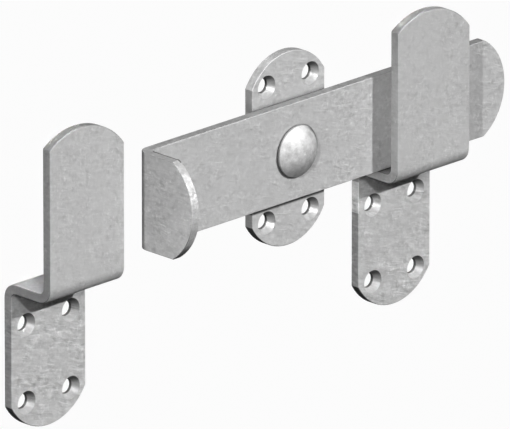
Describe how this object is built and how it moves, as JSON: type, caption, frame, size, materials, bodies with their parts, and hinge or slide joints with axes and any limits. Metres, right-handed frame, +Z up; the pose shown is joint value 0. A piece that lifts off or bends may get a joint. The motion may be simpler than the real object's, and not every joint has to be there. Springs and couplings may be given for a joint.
{
  "type": "kick over stable latch",
  "caption": "Flat steel kick bar with a folded foot flange, swinging on a domed rivet in a screw-on plate and dropping into an open-topped cranked keep to hold a stable door shut.",
  "frame": {"origin": "pivot axis of the bar in the plane of the pivot plate's back face, which lies on the door; the keeps' back faces lie 9.2 mm behind it, on the post", "axes": "+X along the bar towards its long arm, +Y into the door (out of the back faces), +Z up"},
  "size_m": [0.3253, 0.053, 0.1618],
  "materials": {
    "galvanised_plate": "hot-dip galvanised, mottled grey",
    "galvanised_bar": "hot-dip galvanised, mottled grey",
    "galvanised_keep": "hot-dip galvanised, mottled grey",
    "rivet_zinc": "bright zinc, satin"
  },
  "bodies": {
    "fixed": {"pivot_plate": "galvanised_plate", "pivot_rivet": "rivet_zinc", "left_keep": "galvanised_keep", "right_keep": "galvanised_keep"},
    "bar": {"kick_bar": "galvanised_bar"}
  },
  "joints": [
    {"name": "bar_swing", "type": "hinge", "parent": "fixed", "child": "bar", "pos_m": [0, -0.0078, 0], "axis": [0, -1, 0], "range_deg": [0, 129.5]}
  ]
}
